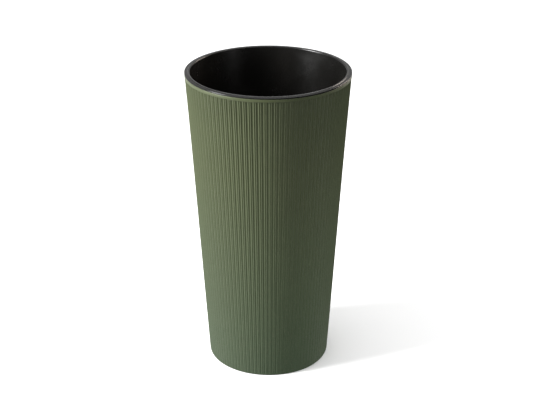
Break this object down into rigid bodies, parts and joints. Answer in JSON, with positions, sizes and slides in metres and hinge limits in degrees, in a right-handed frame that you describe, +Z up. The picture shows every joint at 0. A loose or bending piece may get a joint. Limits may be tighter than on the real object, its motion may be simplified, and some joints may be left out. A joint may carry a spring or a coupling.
{
  "type": "tall fluted planter bucket with liner",
  "caption": "Tall tapered round bucket with a fluted wall and a lift-out liner hanging in its mouth; holds cut stems or a potted plant upright.",
  "frame": {"origin": "middle of the foot, on the surface the pot stands on", "axes": "+Z up along the pot's axis; X and Y are any two directions across it, as the pot is round"},
  "size_m": [0.249, 0.249, 0.47],
  "materials": {
    "green_composite": "matt wood-fibre composite, olive green with fine pale and brown specks, vertically fluted",
    "black_plastic": "semi-gloss warm black, smooth moulded"
  },
  "bodies": {
    "pot": {"outer_pot": "green_composite"},
    "liner": {"inner_liner": "black_plastic"}
  },
  "joints": [
    {"name": "liner_lift", "type": "slide", "parent": "pot", "child": "liner", "axis": [0, 0, 1], "range_m": [0, 0.26]}
  ]
}
